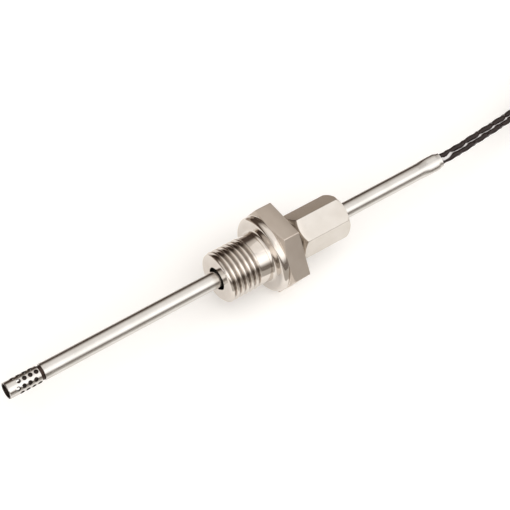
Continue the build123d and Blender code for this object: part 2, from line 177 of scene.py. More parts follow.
def hank_end(first, sign):
    """Points round one end of the hank; first and the next slot set where the turn moves."""
    # A smooth line through control points on a circle runs a little inside them.
    step = math.pi / END_POINTS
    widen = 1.0 / (0.75 + 0.25 * math.cos(step))
    start = FIRST_MOVE - MOVE_STEP * first
    points = []
    for index in range(1, END_POINTS):
        angle = index * step
        radius, layer = SLOTS[first]
        if sign < 0:
            moved = eased((index / END_POINTS - start) / MOVE_LENGTH)
            radius += moved * (SLOTS[first + 1][0] - radius)
            layer += moved * (SLOTS[first + 1][1] - layer)
        middle = HANK_END if sign > 0 else HANK_START
        x = middle + sign * widen * radius * math.sin(angle)
        points.append(hank_point(x, sign * widen * math.cos(angle), radius, layer))
    return points


def hank_run(slot, sign):
    """Points along one straight side of the hank."""
    points = []
    for index in range(RUN_POINTS + 1):
        share = index / RUN_POINTS
        x = HANK_START + HANK_RUN * (share if sign > 0 else 1.0 - share)
        points.append(hank_point(x, sign, *SLOTS[slot]))
    return points


def hank_turns():
    """Control points of the hank: seven turns and one last straight side."""
    points = []
    for turn in range(len(SLOTS) - 1):
        points += hank_run(turn, 1) + hank_end(turn, 1) + hank_run(turn, -1) + hank_end(turn, -1)
    return points + hank_run(len(SLOTS) - 1, 1)


def smooth_line(name, points, steps):
    """Points along the smooth spline that has the route's points as its control points."""
    curve = bpy.data.curves.new(name, "CURVE")
    curve.dimensions = "3D"
    curve.resolution_u = steps
    spline = curve.splines.new("NURBS")
    spline.points.add(len(points) - 1)
    for control, point in zip(spline.points, points):
        control.co = (*mm(*point), 1.0)
    spline.order_u = 3
    spline.use_endpoint_u = True
    guide = bpy.data.objects.new(name, curve)
    bpy.context.collection.objects.link(guide)
    bpy.context.view_layer.update()
    line = bpy.data.meshes.new_from_object(guide)
    found = [vertex.co.copy() for vertex in line.vertices]
    bpy.data.objects.remove(guide)
    bpy.data.curves.remove(curve)
    bpy.data.meshes.remove(line)
    return found


def carried_frames(line, side_way):
    """Distance run, tangent and a side direction at each point, carried along without twist."""
    frames = []
    run = 0.0
    side = side_way.normalized()
    for index, point in enumerate(line):
        before = line[max(index - 1, 0)]
        after = line[min(index + 1, len(line) - 1)]
        tangent = (after - before).normalized()
        side = (side - side.dot(tangent) * tangent).normalized()
        if index:
            run += (point - before).length
        frames.append((run, tangent, side))
    return frames


def add_tube(vertices, faces, centres, frames, radius, sides):
    """Closed round tube along the centres, added to the lists; radius may be one per centre."""
    first = len(vertices)
    radii = radius if isinstance(radius, list) else [radius] * len(centres)
    for centre, (_, tangent, side), thick in zip(centres, frames, radii):
        other = tangent.cross(side)
        for corner in range(sides):
            angle = 2 * math.pi * corner / sides
            vertices.append(centre + thick * (math.cos(angle) * side + math.sin(angle) * other))
    for ring in range(len(centres) - 1):
        for corner in range(sides):
            a = first + ring * sides + corner
            b = first + ring * sides + (corner + 1) % sides
            faces.append((a, b, b + sides, a + sides))
    last = first + (len(centres) - 1) * sides
    faces.append(tuple(first + corner for corner in reversed(range(sides))))
    faces.append(tuple(last + corner for corner in range(sides)))


def mesh_piece(name, vertices, faces):
    """Smooth-shaded mesh object."""
    mesh = bpy.data.meshes.new(name)
    mesh.from_pydata([tuple(vertex) for vertex in vertices], [], faces)
    mesh.update()
    mesh.polygons.foreach_set("use_smooth", [True] * len(mesh.polygons))
    piece = bpy.data.objects.new(name, mesh)
    bpy.context.collection.objects.link(piece)
    return piece


def twist_angle(run):
    """How far the pair has turned about its own line, in radians: a rocking, then also a twist."""
    beyond = max(run / MM - STRAIGHT_STRETCH, 0.0)
    easing = min(beyond / TWIST_PITCH, 1.0)
    wave = WAVE_ANGLE * math.sin(2 * math.pi * run / MM / WAVE_PITCH)
    return wave + 2 * math.pi * beyond / TWIST_PITCH * (0.5 + 0.5 * easing)


def filler_radius(run):
    """The pale filler is fullest at the crimp and swells where it works out of the groove."""
    at_crimp = eased((FILLER_CRIMP_END - run / MM) / FILLER_CRIMP_FADE)
    wave = math.cos(2 * math.pi * (run / MM - FIRST_SWELL) / WAVE_PITCH)
    swell = max(wave, 0.0) ** SWELL_SHARPNESS
    return (FILLER_LEAST + max(FILLER_SWELL * swell, FILLER_AT_CRIMP * at_crimp)) * MM


def make_lead():
    """The two cores as one cord, from the crimp through the hank to the boot, and its filler."""
    line = smooth_line("lead_line", LEAD_ROUTE + hank_turns() + TAIL_ROUTE, LINE_STEPS)
    frames = carried_frames(line, CRIMP_WIDE_WAY)
    vertices, faces = [], []
    ways = [Quaternion(tangent, twist_angle(run)) @ side for run, tangent, side in frames]
    for way in (1, -1):
        centres = [point + way * LEAD_OFFSET * MM * across for point, across in zip(line, ways)]
        add_tube(vertices, faces, centres, frames, LEAD_RADIUS * MM, LEAD_SIDES)
    lead = mesh_piece("lead_pair", vertices, faces)
    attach(lead, "probe")
    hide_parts("lead_cable", "lead_cable_hank", "lead_cable_tail")
    vertices, faces = [], []
    radii = [filler_radius(run) for run, _, _ in frames]
    add_tube(vertices, faces, line, frames, radii, FILLER_SIDES)
    filler = mesh_piece("lead_filler", vertices, faces)
    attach(filler, "probe")
    return lead, filler, line, frames[-1][0]


def make_end_lead(name, side_sign):
    """One core between the boot and its ring terminal."""
    points = [(x, BOOT_AXIS_Y + side_sign * offset, z) for x, offset, z in END_LEAD_ROUTE]
    line = smooth_line(name + "_line", points, END_LEAD_STEPS)
    vertices, faces = [], []
    frames = carried_frames(line, Vector((0, 0, 1)))
    add_tube(vertices, faces, line, frames, END_LEAD_RADIUS * MM, LEAD_SIDES)
    piece = mesh_piece("core_" + name, vertices, faces)
    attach(piece, "probe")
    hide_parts("end_lead_" + name)
    return piece


lead, filler, lead_line, lead_length = make_lead()
cores = [make_end_lead("positive", 1), make_end_lead("negative", -1)]


# ---------------------------------------------------------------- gland and nut
# Stations are measured from the front of the tip along the probe.
SHARP_ANGLE = math.radians(28.0)
HALF_SIDE = 30.0
NEAR_CORNER = [0.0, 0.25, 0.5, 0.75, 1.1, 1.6]
FLAT_COLUMNS_START = 2.0
FLAT_COLUMNS = 18

GLAND_FRONT = 62.0
GLAND_BORE = 2.35
FRONT_BORE = 3.1
THREAD_CREST = 6.95
THREAD_DEPTH = 0.85
THREAD_PITCH = 1.5
THREAD_ROW_STEP = 0.09
THREAD_START = 62.2
THREAD_END = 71.6
THREAD_RUNOUT = 0.5
START_CHAMFER = 0.62
START_SLOPE = 0.95
GROOVE_SHARPNESS = 1.5
SHANK_RADIUS = 6.8
FLANGE_FACE = 75.6
FLANGE_RADIUS = 10.5
FLANGE_END = 77.56
FLANGE_ROUND = 1.1
FLANGE_FILLET = 0.8
GLAND_ACROSS_FLATS = 21.0
GLAND_CORNER_ROUND = 0.3
GLAND_CHAMFER = math.radians(20.0)
HEXAGON_END = 82.9
REAR_ROOT = 3.3
REAR_CREST = 3.95
REAR_DEPTH = 0.35
REAR_PITCH = 1.0
REAR_START = 84.2
REAR_ROW_STEP = 0.1
REAR_ROWS = 77
GLAND_END = 92.0

NUT_FRONT = 86.3
NUT_END = 101.5
NUT_ACROSS_FLATS = 11.0
NUT_FACE_RADIUS = 5.35
NUT_CORNER_ROUND = 0.22
NUT_TURN = 28.0
NUT_CHAMFER = math.radians(40.0)
NUT_THREAD_BORE = 4.05
NUT_FERRULE_BORE = 3.3
NUT_REAR_BORE = 2.4
NUT_CORNER = NUT_ACROSS_FLATS / math.sqrt(3) + 0.1
NUT_CAP = 2.2

SHEATH_FRONT = 9.95
SHEATH_END = 136.5
SHEATH_RADIUS = 2.25
SHEATH_BORE = 1.85
SHEATH_COLUMNS = 96
SHEATH_ROW_STEP = 6
CRIMP_START = 127.6
CRIMP_EASE = 4.4
CRIMP_ROWS = 12
CRIMP_ROW_STEP = 0.4
CRIMP_END = 134.6
CRIMP_HALF_WIDTH = 2.35
CRIMP_HALF_HEIGHT = 1.5
CRIMP_TILT = 33.0
MOUTH_STEPS = 8
MOUTH_LENGTH = 1.85
MOUTH_HALF_WIDTH = 1.95
MOUTH_HALF_HEIGHT = 1.12


def hexagon_angles(turn):
    """Angles of the mesh's columns round a hexagon, closer together at its rounded corners."""
    pace = (HALF_SIDE - FLAT_COLUMNS_START) / FLAT_COLUMNS
    on_flat = [FLAT_COLUMNS_START + pace * step for step in range(FLAT_COLUMNS)]
    offsets = NEAR_CORNER + on_flat
    offsets += [-offset for offset in offsets[1:]] + [-HALF_SIDE]
    angles = []
    for corner in range(6):
        angles += [turn + HALF_SIDE * (2 * corner + 1) + offset for offset in offsets]
    return sorted(math.radians(angle % 360.0) for angle in angles)


def hexagon_radius(angle, turn, across_flats, rounding):
    """Radius of a hexagon with rounded corners; turn 0 has a flat at angle 0."""
    half = math.radians(HALF_SIDE)
    off_corner = abs((angle - math.radians(turn)) % (2 * half) - half)
    flat = across_flats / 2
    centre = (flat - rounding) / math.cos(half)
    touching = math.atan2(rounding * math.sin(half), centre + rounding * math.cos(half))
    if off_corner >= touching:
        return flat / math.cos(half - off_corner)
    return centre * math.cos(off_corner) + math.sqrt(
        rounding ** 2 - (centre * math.sin(off_corner)) ** 2)


def thread_radius(station, angle, crest, depth, pitch):
    """Rounded right-hand screw thread: broad crests and narrower grooves."""
    phase = station / pitch - angle / (2 * math.pi)
    groove = (0.5 + 0.5 * math.cos(2 * math.pi * phase)) ** GROOVE_SHARPNESS
    return crest - depth * groove


def arc(centre_station, centre_radius, size, first, last, steps):
    """(station, radius) points on a small arc; 0 degrees is rearwards and 90 outwards."""
    points = []
    for step in range(steps + 1):
        angle = math.radians(first + (last - first) * step / steps)
        station = centre_station + size * math.cos(angle)
        points.append((station, centre_radius + size * math.sin(angle)))
    return points


def turned_piece(name, angles, rows):
    """Closed ring mesh about the probe axis; each row gives (station, radius) at an angle."""
    vertices, faces = [], []
    for row in rows:
        for angle in angles:
            station, radius = row(angle) if callable(row) else row
            # Angle 0 is up and angles grow from up towards -Y, right-handed about +X.
            vertices.append(Vector((
                station * MM - HALF_PROBE, -radius * MM * math.sin(angle),
                AXIS_HEIGHT + radius * MM * math.cos(angle))))
    columns = len(angles)
    for row in range(len(rows)):
        below = (row + 1) % len(rows)
        for column in range(columns):
            beside = (column + 1) % columns
            faces.append((row * columns + column, row * columns + beside,
                          below * columns + beside, below * columns + column))
    piece = mesh_piece(name, vertices, faces)
    piece.data.set_sharp_from_angle(angle=SHARP_ANGLE)
    return piece


def front_thread_row(station):
    """Row of the front thread, which fades in at its chamfered start and out at the shank."""
    def row(angle):
        fade_out = eased((THREAD_END - station) / THREAD_RUNOUT)
        start = THREAD_CREST - START_CHAMFER + (station - GLAND_FRONT) * START_SLOPE
        cut = thread_radius(station, angle, THREAD_CREST, THREAD_DEPTH, THREAD_PITCH)
        lowered = SHANK_RADIUS + fade_out * (cut - SHANK_RADIUS)
        return station, min(lowered, start)
    return row


def rear_thread_row(station):
    """Row of the rear thread, which is chamfered at both ends."""
    def row(angle):
        cut = thread_radius(station, angle, REAR_CREST, REAR_DEPTH, REAR_PITCH)
        ends = min(station - REAR_START + REAR_ROOT, GLAND_END - station + REAR_ROOT + 0.1)
        return station, min(cut, ends)
    return row


def gland_rows():
    """Outline of the gland body: front bore, face, thread, shank, flange, hexagon, rear thread."""
    def radius_at(angle):
        return hexagon_radius(angle, 0.0, GLAND_ACROSS_FLATS, GLAND_CORNER_ROUND)

    def chamfer_row(inset, drop):
        def row(angle):
            rise = (radius_at(angle) - FLANGE_RADIUS) * math.tan(GLAND_CHAMFER)
            return FLANGE_END + rise + inset, radius_at(angle) - drop
        return row

    def hexagon_row(station, drop):
        return lambda angle: (station, radius_at(angle) - drop)

    rows = [(69.0, GLAND_BORE), (65.0, FRONT_BORE), (62.4, FRONT_BORE), (62.12, 3.16), (62.02, 3.26)]
    rows += [(GLAND_FRONT, radius) for radius in (3.4, 4.6, 5.4, 6.0)]
    rows += [(62.03, 6.17), (62.12, 6.3)]
    steps = int((THREAD_END - THREAD_START) / THREAD_ROW_STEP)
    rows += [front_thread_row(THREAD_START + THREAD_ROW_STEP * step) for step in range(steps)]
    rows += [(station, SHANK_RADIUS) for station in (THREAD_END, 73.0, 74.75)]
    rows += arc(FLANGE_FACE - FLANGE_FILLET, SHANK_RADIUS + FLANGE_FILLET, FLANGE_FILLET, 285, 360, 5)
    rows += [(FLANGE_FACE, 8.4), (FLANGE_FACE, 9.2)]
    rows += arc(FLANGE_FACE + FLANGE_ROUND, FLANGE_RADIUS - FLANGE_ROUND, FLANGE_ROUND, 180, 90, 10)
    rows += [(77.1, FLANGE_RADIUS), (77.42, FLANGE_RADIUS), (77.48, 10.47), (77.52, 10.42)]
    rows += [chamfer_row(-0.02, 0.05), chamfer_row(0.03, 0.012), chamfer_row(0.1, 0.0)]
    rows += [hexagon_row(78.6, 0.0), hexagon_row(80.5, 0.0), hexagon_row(HEXAGON_END - 0.18, 0.0)]
    for back, drop in ((0.08, 0.03), (0.02, 0.09), (0.0, 0.2)):
        rows.append(hexagon_row(HEXAGON_END - back, drop))
    rows += [(HEXAGON_END, 9.6), (HEXAGON_END, 7.0), (HEXAGON_END, 3.6)]
    rows += [(82.94, 3.4), (83.05, REAR_ROOT), (84.1, REAR_ROOT)]
    rows += [rear_thread_row(REAR_START + REAR_ROW_STEP * step) for step in range(REAR_ROWS)]
    rows += [(91.97, 3.38), (GLAND_END, 3.3), (GLAND_END, 3.1), (89.94, GLAND_BORE)]
    return rows


def nut_rows():
    """Outline of the nut: front face, chamfer, flats, rounded rear end and stepped bore."""
    def radius_at(angle):
        return hexagon_radius(angle, NUT_TURN, NUT_ACROSS_FLATS, NUT_CORNER_ROUND)

    def chamfer_row(inset, drop):
        def row(angle):
            rise = (radius_at(angle) - NUT_FACE_RADIUS) * math.tan(NUT_CHAMFER)
            return NUT_FRONT + 0.04 + rise + inset, radius_at(angle) - drop
        return row

    def cap_row(share):
        def row(angle):
            inner = NUT_CORNER - NUT_CAP
            start = math.asin(min((radius_at(angle) - inner) / NUT_CAP, 1.0))
            turn = start * (1.0 - share)
            return NUT_END - NUT_CAP + NUT_CAP * math.cos(turn), inner + NUT_CAP * math.sin(turn)
        return row

    def before_cap(back):
        def row(angle):
            station, radius = cap_row(0.0)(angle)
            return station - back, radius
        return row

    def flat_row(station):
        return lambda angle: (station, radius_at(angle))

    rows = [(86.45, NUT_THREAD_BORE), (86.34, 4.12)]
    rows += [(NUT_FRONT, radius) for radius in (4.25, 4.8, 5.2)] + [(86.33, 5.3)]
    rows += [chamfer_row(-0.02, 0.04), chamfer_row(0.03, 0.01), chamfer_row(0.1, 0.0)]
    rows += [flat_row(station) for station in (89.0, 93.0, 97.0)]
    rows += [before_cap(0.08), before_cap(0.02)]
    rows += [cap_row(share) for share in (0.04, 0.12, 0.25, 0.4, 0.55, 0.7, 0.85, 1.0)]
    rows += [(NUT_END, 3.6), (NUT_END, 3.0), (101.47, 2.88), (101.1, NUT_REAR_BORE)]
    rows += [(95.7, NUT_REAR_BORE), (94.8, NUT_FERRULE_BORE), (93.6, NUT_FERRULE_BORE)]
    rows += [(93.2, NUT_THREAD_BORE)]
    return rows


def oval_radius(angle, half_width, half_height):
    """Radius of the crimp's oval, whose wide way is turned from level by the crimp's tilt."""
    # Angle 0 is up; the wide way points from the axis towards +Y and up.
    off_wide = angle + math.radians(90.0 - CRIMP_TILT)
    along = half_height * math.cos(off_wide)
    over = half_width * math.sin(off_wide)
    return half_width * half_height / math.hypot(along, over)


def sheath_rows():
    """Outline of the sheath: front face, long tube, oval crimp, drawn-in mouth and bore."""
    def oval_row(station, half_width, half_height):
        return lambda angle: (station, oval_radius(angle, half_width, half_height))

    def between(first, last, share):
        return first + share * (last - first)

    def squeezed(station):
        share = eased((station - CRIMP_START) / CRIMP_EASE)
        return oval_row(station, between(SHEATH_RADIUS, CRIMP_HALF_WIDTH, share),
                        between(SHEATH_RADIUS, CRIMP_HALF_HEIGHT, share))

    def drawn_in(part):
        share = eased(part)
        return oval_row(CRIMP_END + MOUTH_LENGTH * part,
                        between(CRIMP_HALF_WIDTH, MOUTH_HALF_WIDTH, share),
                        between(CRIMP_HALF_HEIGHT, MOUTH_HALF_HEIGHT, share))

    rows = [(10.1, SHEATH_BORE), (9.99, 1.95), (SHEATH_FRONT, 2.02), (SHEATH_FRONT, 2.12)]
    rows += [(9.98, 2.21), (10.07, SHEATH_RADIUS)]
    rows += [(station, SHEATH_RADIUS) for station in range(12, 127, SHEATH_ROW_STEP)]
    rows += [squeezed(CRIMP_START + CRIMP_ROW_STEP * step) for step in range(CRIMP_ROWS)]
    rows += [squeezed(station) for station in (132.8, 133.8, CRIMP_END)]
    rows += [drawn_in(step / MOUTH_STEPS) for step in range(1, MOUTH_STEPS + 1)]
    rows += [oval_row(SHEATH_END, 1.9, 1.07), oval_row(SHEATH_END, 1.82, 0.99)]
    rows += [oval_row(136.4, 1.77, 0.94), oval_row(135.0, 1.95, 1.1), oval_row(132.0, 1.95, 1.1)]
    rows += [(CRIMP_START, SHEATH_BORE), (70.0, SHEATH_BORE)]
    return rows


round_angles = [2 * math.pi * step / SHEATH_COLUMNS for step in range(SHEATH_COLUMNS)]
sheath = turned_piece("sheath_visual", round_angles, sheath_rows())
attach(sheath, "probe")
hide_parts("sheath_tube")
gland = turned_piece("gland_visual", hexagon_angles(0.0), gland_rows())
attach(gland, "gland")
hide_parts("gland_body")
nut = turned_piece("nut_visual", hexagon_angles(NUT_TURN), nut_rows())
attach(nut, "nut")
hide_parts("gland_nut")


# ---------------------------------------------------------------- materials
ALONG = (35.0, 5200.0, 5200.0)
AROUND = (8000.0, 220.0, 220.0)
MARKS_ON_TURNED = (9000.0, 260.0, 260.0)
MARKS_ON_MILLED = (2200.0, 300.0, 300.0)
MARKS_ON_RUBBED = (300.0, 1500.0, 1500.0)
NOISE_LOW = 0.3
NOISE_HIGH = 0.7

# Places in the object's own coordinates, in metres, where one finish gives way to another, and where
# painted shade starts inside the tip and in the thread's grooves.
TIP_OUTSIDE = 2.1 * MM
HEXAGON_X = 9.35 * MM
THREAD_FIRST_X = -6.0 * MM
THREAD_LAST_X = 3.2 * MM
GROOVE_TOP = 6.65 * MM
GROOVE_FLOOR = 6.2 * MM
GROOVE_SHADE = 0.6


def fill_ramp(node, stops):
    """Sets a colour ramp's (position, colour) stops."""
    elements = node.color_ramp.elements
    while len(elements) < len(stops):
        elements.new(0.5)
    for element, (position, colour) in zip(elements, stops):
        element.position = position
        element.color = (*colour, 1.0)


class Look:
    """A node material that is being put together."""

    def __init__(self, name):
        self.material = bpy.data.materials.new(name)
        self.material.use_nodes = True
        self.nodes = self.material.node_tree.nodes
        self.links = self.material.node_tree.links
        self.shader = self.nodes["Principled BSDF"]
        self.place = self.nodes.new("ShaderNodeTexCoord").outputs["Object"]

    def set(self, **values):
        """Constant values on the shader's own sockets."""
        for name, value in values.items():
            self.shader.inputs[name.replace("_", " ")].default_value = value
        return self

    def join(self, output, name):
        """Links an output to one of the shader's sockets."""
        self.links.new(output, self.shader.inputs[name])

    def math(self, operation, *operands):
        """Math node on outputs and numbers."""
        node = self.nodes.new("ShaderNodeMath")
        node.operation = operation
        for socket, operand in zip(node.inputs, operands):
            if isinstance(operand, (int, float)):
                socket.default_value = operand
            else:
                self.links.new(operand, socket)
        return node.outputs[0]

    def axis(self, name):
        """One coordinate of the object, in metres."""
        node = self.nodes.new("ShaderNodeSeparateXYZ")
        self.links.new(self.place, node.inputs[0])
        return node.outputs[name]

    def off_axis(self):
        """Distance from the probe's axis, in metres."""
        height = self.math("SUBTRACT", self.axis("Z"), AXIS_HEIGHT)
        across = self.axis("Y")
        return self.math("SQRT", self.math(
            "ADD", self.math("MULTIPLY", across, across), self.math("MULTIPLY", height, height)))

    def stretched(self, x, y, z):
        """The object's coordinates, scaled along each axis."""
        node = self.nodes.new("ShaderNodeMapping")
        node.inputs["Scale"].default_value = (x, y, z)
        self.links.new(self.place, node.inputs["Vector"])
        return node.outputs[0]

    def noise(self, scale, detail=4.0, stretch=(1, 1, 1), roughness=0.55):
        """Noise with the given number of features per metre."""
        node = self.nodes.new("ShaderNodeTexNoise")
        node.inputs["Scale"].default_value = scale
        node.inputs["Detail"].default_value = detail
        node.inputs["Roughness"].default_value = roughness
        self.links.new(self.stretched(*stretch), node.inputs["Vector"])
        return node.outputs[0]

    def ramp(self, factor, *stops):
        """Colour ramp from (position, colour) stops."""
        node = self.nodes.new("ShaderNodeValToRGB")
        self.links.new(factor, node.inputs[0])
        fill_ramp(node, stops)
        return node.outputs[0]

    def map_range(self, value, first, last, low, high):
        """Number from low to high as the value goes from first to last, held beyond them."""
        node = self.nodes.new("ShaderNodeMapRange")
        ends = {"From Min": first, "From Max": last, "To Min": low, "To Max": high}
        for name, end in ends.items():
            node.inputs[name].default_value = end
        self.links.new(value, node.inputs["Value"])
        return node.outputs[0]

    def spread(self, noise, low, high):
        """Number from low to high over the usual range of a noise."""
        return self.map_range(noise, NOISE_LOW, NOISE_HIGH, low, high)

    def mix(self, factor, first, second):
        """Colour mix of two outputs."""
        node = self.nodes.new("ShaderNodeMix")
        node.data_type = "RGBA"
        for value, index in ((factor, 0), (first, 6), (second, 7)):
            self.links.new(value, node.inputs[index])
        return node.outputs[2]

    def bump(self, *layers):
        """Stacked bumps, each (height output, depth in metres, strength)."""
        normal = None
        for height, depth, strength in layers:
            node = self.nodes.new("ShaderNodeBump")
            node.inputs["Strength"].default_value = strength
            node.inputs["Distance"].default_value = depth
            self.links.new(height, node.inputs["Height"])
            if normal is not None:
                self.links.new(normal, node.inputs["Normal"])
            normal = node.outputs[0]
        self.join(normal, "Normal")
        return self


def polished_metal(name, light, dark, rough, marks, depth):
    """Turned or drawn metal: fine marks, faint stains and a finish that varies a little.

    marks is how many fine lines there are per metre along X, Y and Z."""
    look = Look(name).set(Metallic=1.0)
    stains = look.noise(160.0, 5.0)
    look.join(look.ramp(stains, (0.32, dark), (0.62, light)), "Base Color")
    fine = look.noise(1.0, 3.0, marks, 0.6)
    smears = look.noise(420.0, 4.0, (0.4, 1, 1))
    varied = look.math("ADD", look.spread(fine, rough[0], rough[1]), look.spread(smears, 0.0, 0.04))
    look.join(varied, "Roughness")
    look.bump((fine, depth, 0.35), (look.noise(600.0, 3.0), 2.0 * depth, 0.3))
    return look


def tip_metal(name):
    """Drawn steel outside; inside the bore and the holes it is dulled, and painted shade colours it
    near-black brown.
    """
    look = Look(name).set(Metallic=1.0)
    outside = look.math("GREATER_THAN", look.off_axis(), TIP_OUTSIDE)
    stains = look.noise(260.0, 5.0)
    clean = look.ramp(stains, (0.32, (0.60, 0.57, 0.545)), (0.62, (0.66, 0.64, 0.615)))
    # Painted shade: the surface inside the tip's outer radius, in the bore and the holes, is coloured
    # near-black.
    painted_bore_shade = look.ramp(stains, (0.35, (0.055, 0.038, 0.032)), (0.65, (0.10, 0.075, 0.062)))
    look.join(look.mix(outside, painted_bore_shade, clean), "Base Color")
    fine = look.noise(1.0, 3.0, ALONG, 0.6)
    dull = look.math("MULTIPLY", look.math("SUBTRACT", 1.0, outside), 0.35)
    look.join(look.math("ADD", look.spread(fine, 0.10, 0.16), dull), "Roughness")
    look.bump((fine, 2.5e-7, 0.35), (look.noise(600.0, 3.0), 6.0e-7, 0.3))
    return look


def gland_metal(name):
    """Nickel plate: polished where it was turned, satin on the hexagon's flats, with painted shade
    darkening the thread's grooves.
    """
    look = Look(name).set(Metallic=1.0)
    stains = look.noise(210.0, 5.0)
    turned_colour = look.ramp(stains, (0.3, (0.66, 0.605, 0.55)), (0.65, (0.71, 0.665, 0.62)))
    flat_colour = look.ramp(stains, (0.3, (0.57, 0.50, 0.435)), (0.65, (0.61, 0.545, 0.48)))
    station = look.axis("X")
    on_flats = look.math("GREATER_THAN", station, HEXAGON_X)
    plain = look.mix(on_flats, turned_colour, flat_colour)
    # Painted shade: the thread's grooves get a dark colour that deepens towards their floor.
    depth = look.map_range(look.off_axis(), GROOVE_TOP, GROOVE_FLOOR, 0.0, GROOVE_SHADE)
    on_thread = look.math("MULTIPLY", look.math("GREATER_THAN", station, THREAD_FIRST_X),
                          look.math("LESS_THAN", station, THREAD_LAST_X))
    painted_groove_shade = look.ramp(stains, (0.3, (0.13, 0.10, 0.08)), (0.65, (0.20, 0.16, 0.13)))
    groove_shade_amount = look.math("MULTIPLY", on_thread, depth)
    look.join(look.mix(groove_shade_amount, plain, painted_groove_shade), "Base Color")
    rings = look.noise(1.0, 3.0, MARKS_ON_TURNED)
    milled = look.noise(1.0, 3.0, MARKS_ON_MILLED)
    fine = look.math("ADD", look.math("MULTIPLY", rings, look.math("SUBTRACT", 1.0, on_flats)),
                     look.math("MULTIPLY", milled, on_flats))
    rough = look.math("ADD", look.spread(fine, 0.07, 0.11), look.math("MULTIPLY", on_flats, 0.33))
    look.join(rough, "Roughness")
    look.bump((fine, 3.0e-7, 0.4), (look.noise(500.0, 3.0), 1.0e-6, 0.3))
    return look


def black_insulation(name):
    """Glossy black lead insulation with faint drag lines and a warm tone."""
    look = Look(name).set(Specular_IOR_Level=0.3, IOR=1.45)
    dust = look.noise(900.0, 5.0)
    tone = look.ramp(dust, (0.35, (0.016, 0.009, 0.008)), (0.75, (0.030, 0.018, 0.016)))
    look.join(tone, "Base Color")
    look.join(look.spread(look.noise(1500.0, 4.0), 0.13, 0.22), "Roughness")
    look.bump((look.noise(1.0, 3.0, MARKS_ON_RUBBED), 6e-6, 0.3))
    return look


def matt_solid(name, light, dark, rough, grain, depth, **values):
    """Plastic, rubber or ceramic with a fine grain and mottled colour."""
    look = Look(name).set(**values)
    look.join(look.ramp(look.noise(0.25 * grain, 5.0), (0.35, dark), (0.65, light)), "Base Color")
    look.join(look.spread(look.noise(0.6 * grain, 4.0), rough - 0.06, rough + 0.06), "Roughness")
    look.bump((look.noise(grain, 5.0), depth, 0.6))
    return look


def woven_sleeve(name):
    """Glass-fibre braid: two crossing sets of fine bands."""
    look = Look(name).set(Sheen_Weight=0.2)
    bands = []
    for slant in (1.0, -1.0):
        wave = look.nodes.new("ShaderNodeTexWave")
        wave.inputs["Scale"].default_value = 900.0
        look.links.new(look.stretched(1.0, slant, 0.6), wave.inputs["Vector"])
        bands.append(wave.outputs[1])
    braid = look.math("MULTIPLY", bands[0], bands[1])
    look.join(look.ramp(braid, (0.0, (0.62, 0.58, 0.50)), (0.7, (0.86, 0.84, 0.78))), "Base Color")
    look.join(look.spread(look.noise(2400.0), 0.65, 0.85), "Roughness")
    look.bump((braid, 6e-5, 0.7))
    return look


LOOKS = {
    "sheath_steel": polished_metal(
        "drawn_steel", (0.67, 0.65, 0.625), (0.61, 0.59, 0.56), (0.19, 0.25), ALONG, 2.5e-7),
    "tip_steel": tip_metal("tip_steel"),
    "gland_steel": gland_metal("gland_nickel"),
    "nut_steel": polished_metal(
        "nut_nickel", (0.655, 0.62, 0.575), (0.60, 0.56, 0.51), (0.12, 0.16), ALONG, 2.0e-7),
    "ferrule_steel": polished_metal(
        "ferrule_steel", (0.66, 0.64, 0.62), (0.55, 0.53, 0.51), (0.14, 0.2), AROUND, 1.2e-6),
    "cement": matt_solid("cement", (0.085, 0.060, 0.050), (0.045, 0.032, 0.027), 0.8, 3000.0, 4e-5),
    "ceramic": matt_solid(
        "ceramic", (0.86, 0.84, 0.79), (0.78, 0.75, 0.69), 0.45, 1800.0, 6e-6, Coat_Weight=0.2),
    "thermo_alloy": polished_metal(
        "thermo_alloy", (0.16, 0.13, 0.115), (0.08, 0.065, 0.06), (0.5, 0.7), ALONG, 2e-6),
    "tinned_copper": polished_metal(
        "tinned_copper", (0.72, 0.70, 0.67), (0.58, 0.55, 0.51), (0.25, 0.38), ALONG, 3e-6),
    "glass_fibre": woven_sleeve("glass_fibre"),
    "filler_white": matt_solid(
        "filler_white", (0.72, 0.70, 0.70), (0.56, 0.54, 0.54), 0.5, 2600.0, 8e-6),
    "lead_black": black_insulation("lead_insulation"),
    "tie_nylon": matt_solid(
        "tie_nylon", (0.80, 0.80, 0.77), (0.72, 0.72, 0.69), 0.4, 1500.0, 8e-6,
        Subsurface_Weight=0.05),
    "boot_rubber": matt_solid(
        "boot_rubber", (0.030, 0.029, 0.028), (0.018, 0.018, 0.018), 0.55, 2200.0, 2e-5),
    "terminal_tin": polished_metal(
        "terminal_tin", (0.78, 0.76, 0.73), (0.66, 0.64, 0.60), (0.2, 0.32), AROUND, 2.5e-6),
    "sleeve_green": matt_solid(
        "sleeve_green", (0.035, 0.27, 0.11), (0.022, 0.19, 0.075), 0.38, 1400.0, 1e-5),
    "sleeve_white": matt_solid(
        "sleeve_white", (0.80, 0.79, 0.76), (0.70, 0.69, 0.66), 0.38, 1400.0, 1e-5),
}

NODE_SLOTS = {
    "tip_steel": ["perforated_tip"],
    "ferrule_steel": ["front_ferrule", "back_ferrule"],
    "cement": ["tip_cement"],
    "ceramic": ["ceramic_insulator_%d" % number for number in range(1, 7)],
    "thermo_alloy": ["measuring_bead", "thermo_wire_positive", "thermo_wire_negative"],
    "tinned_copper": ["splice_barrel_positive", "splice_barrel_negative",
                      "lead_core_positive", "lead_core_negative"],
    "glass_fibre": ["splice_sleeve_positive", "splice_sleeve_negative"],
    "lead_black": ["lead_insulation_positive", "lead_insulation_negative"],
    "tie_nylon": ["hank_tie"],
    "boot_rubber": ["breakout_boot"],
    "terminal_tin": ["ring_terminal_positive", "ring_terminal_negative"],
    "sleeve_green": ["terminal_sleeve_positive"],
    "sleeve_white": ["terminal_sleeve_negative"],
}


def paint(piece, look):
    """Gives every slot of a piece the look's material."""
    if not piece.material_slots:
        piece.data.materials.append(look.material)
        return
    for place in piece.material_slots:
        place.link = "OBJECT"
        place.material = look.material


